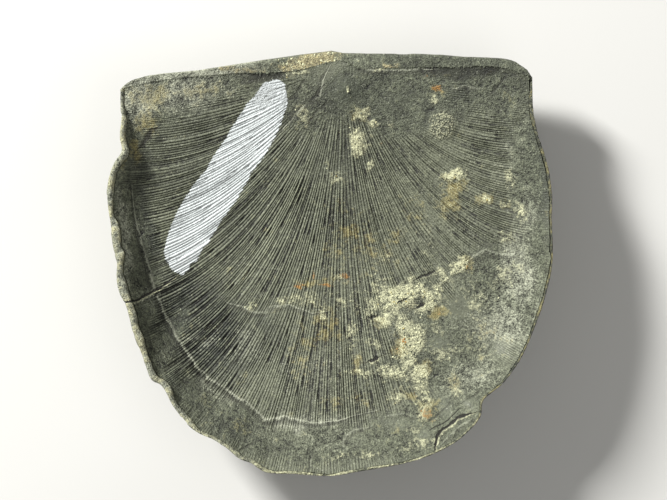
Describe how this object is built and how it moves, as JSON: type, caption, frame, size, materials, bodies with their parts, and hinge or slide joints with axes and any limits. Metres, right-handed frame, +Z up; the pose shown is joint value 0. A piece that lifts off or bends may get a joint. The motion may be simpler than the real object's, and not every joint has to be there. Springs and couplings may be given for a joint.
{
  "type": "fossil brachiopod",
  "caption": "Fossil shell of a brachiopod: a dished ribbed upper valve held in the rim of a rounded lower valve, lying on its rounded side.",
  "frame": {"origin": "middle of the outline in plan, at the level of the flat spot that it rests on", "axes": "+X right along the hinge line, +Y towards the hinge and the beak, +Z up out of the dished valve"},
  "size_m": [0.0448, 0.0428, 0.0093],
  "materials": {
    "pedicle_shell": "matte worn shell and rock, with fine ribs and a pale chipped edge",
    "brachial_shell": "matte fossil shell with fine ribs, ochre stains, pale crusts and a strip of white paint"
  },
  "bodies": {
    "root": {"pedicle_valve": "pedicle_shell", "brachial_valve": "brachial_shell"}
  },
  "joints": []
}
